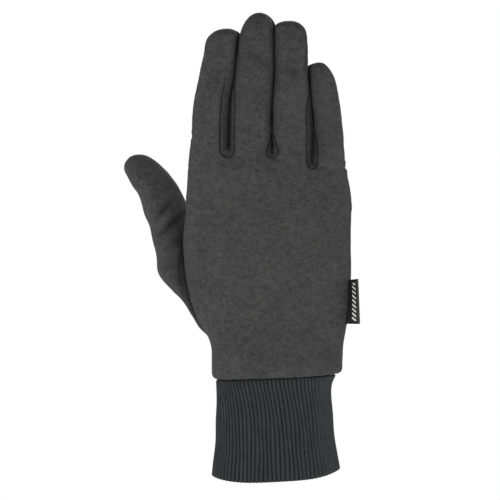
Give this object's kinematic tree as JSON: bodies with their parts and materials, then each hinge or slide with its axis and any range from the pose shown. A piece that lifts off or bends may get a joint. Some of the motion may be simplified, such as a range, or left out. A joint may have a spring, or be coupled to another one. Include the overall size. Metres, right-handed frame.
{
  "type": "glove liner",
  "caption": "Thin close-fitting liner glove for a right hand, in brushed jersey with fourchettes between the fingers, a set-in thumb and a ribbed knit cuff.",
  "frame": {"origin": "middle of the opening at the cuff's hem, where the wrist goes in", "axes": "+Z from the hem towards the fingertips, -Y out of the back of the hand, -X towards the thumb"},
  "size_m": [0.1286, 0.0482, 0.2543],
  "materials": {
    "jersey": "brushed jersey, matt, heathered charcoal",
    "rib_knit": "fine rib knit, matt, near black",
    "woven_label": "woven satin ribbon with a plain pale pattern"
  },
  "bodies": {
    "root": {"back_panel": "jersey", "palm_panel": "jersey", "fourchette_index_middle": "jersey", "fourchette_middle_ring": "jersey", "fourchette_ring_little": "jersey", "thumb": "jersey", "cuff": "rib_knit", "label": "woven_label"}
  },
  "joints": []
}
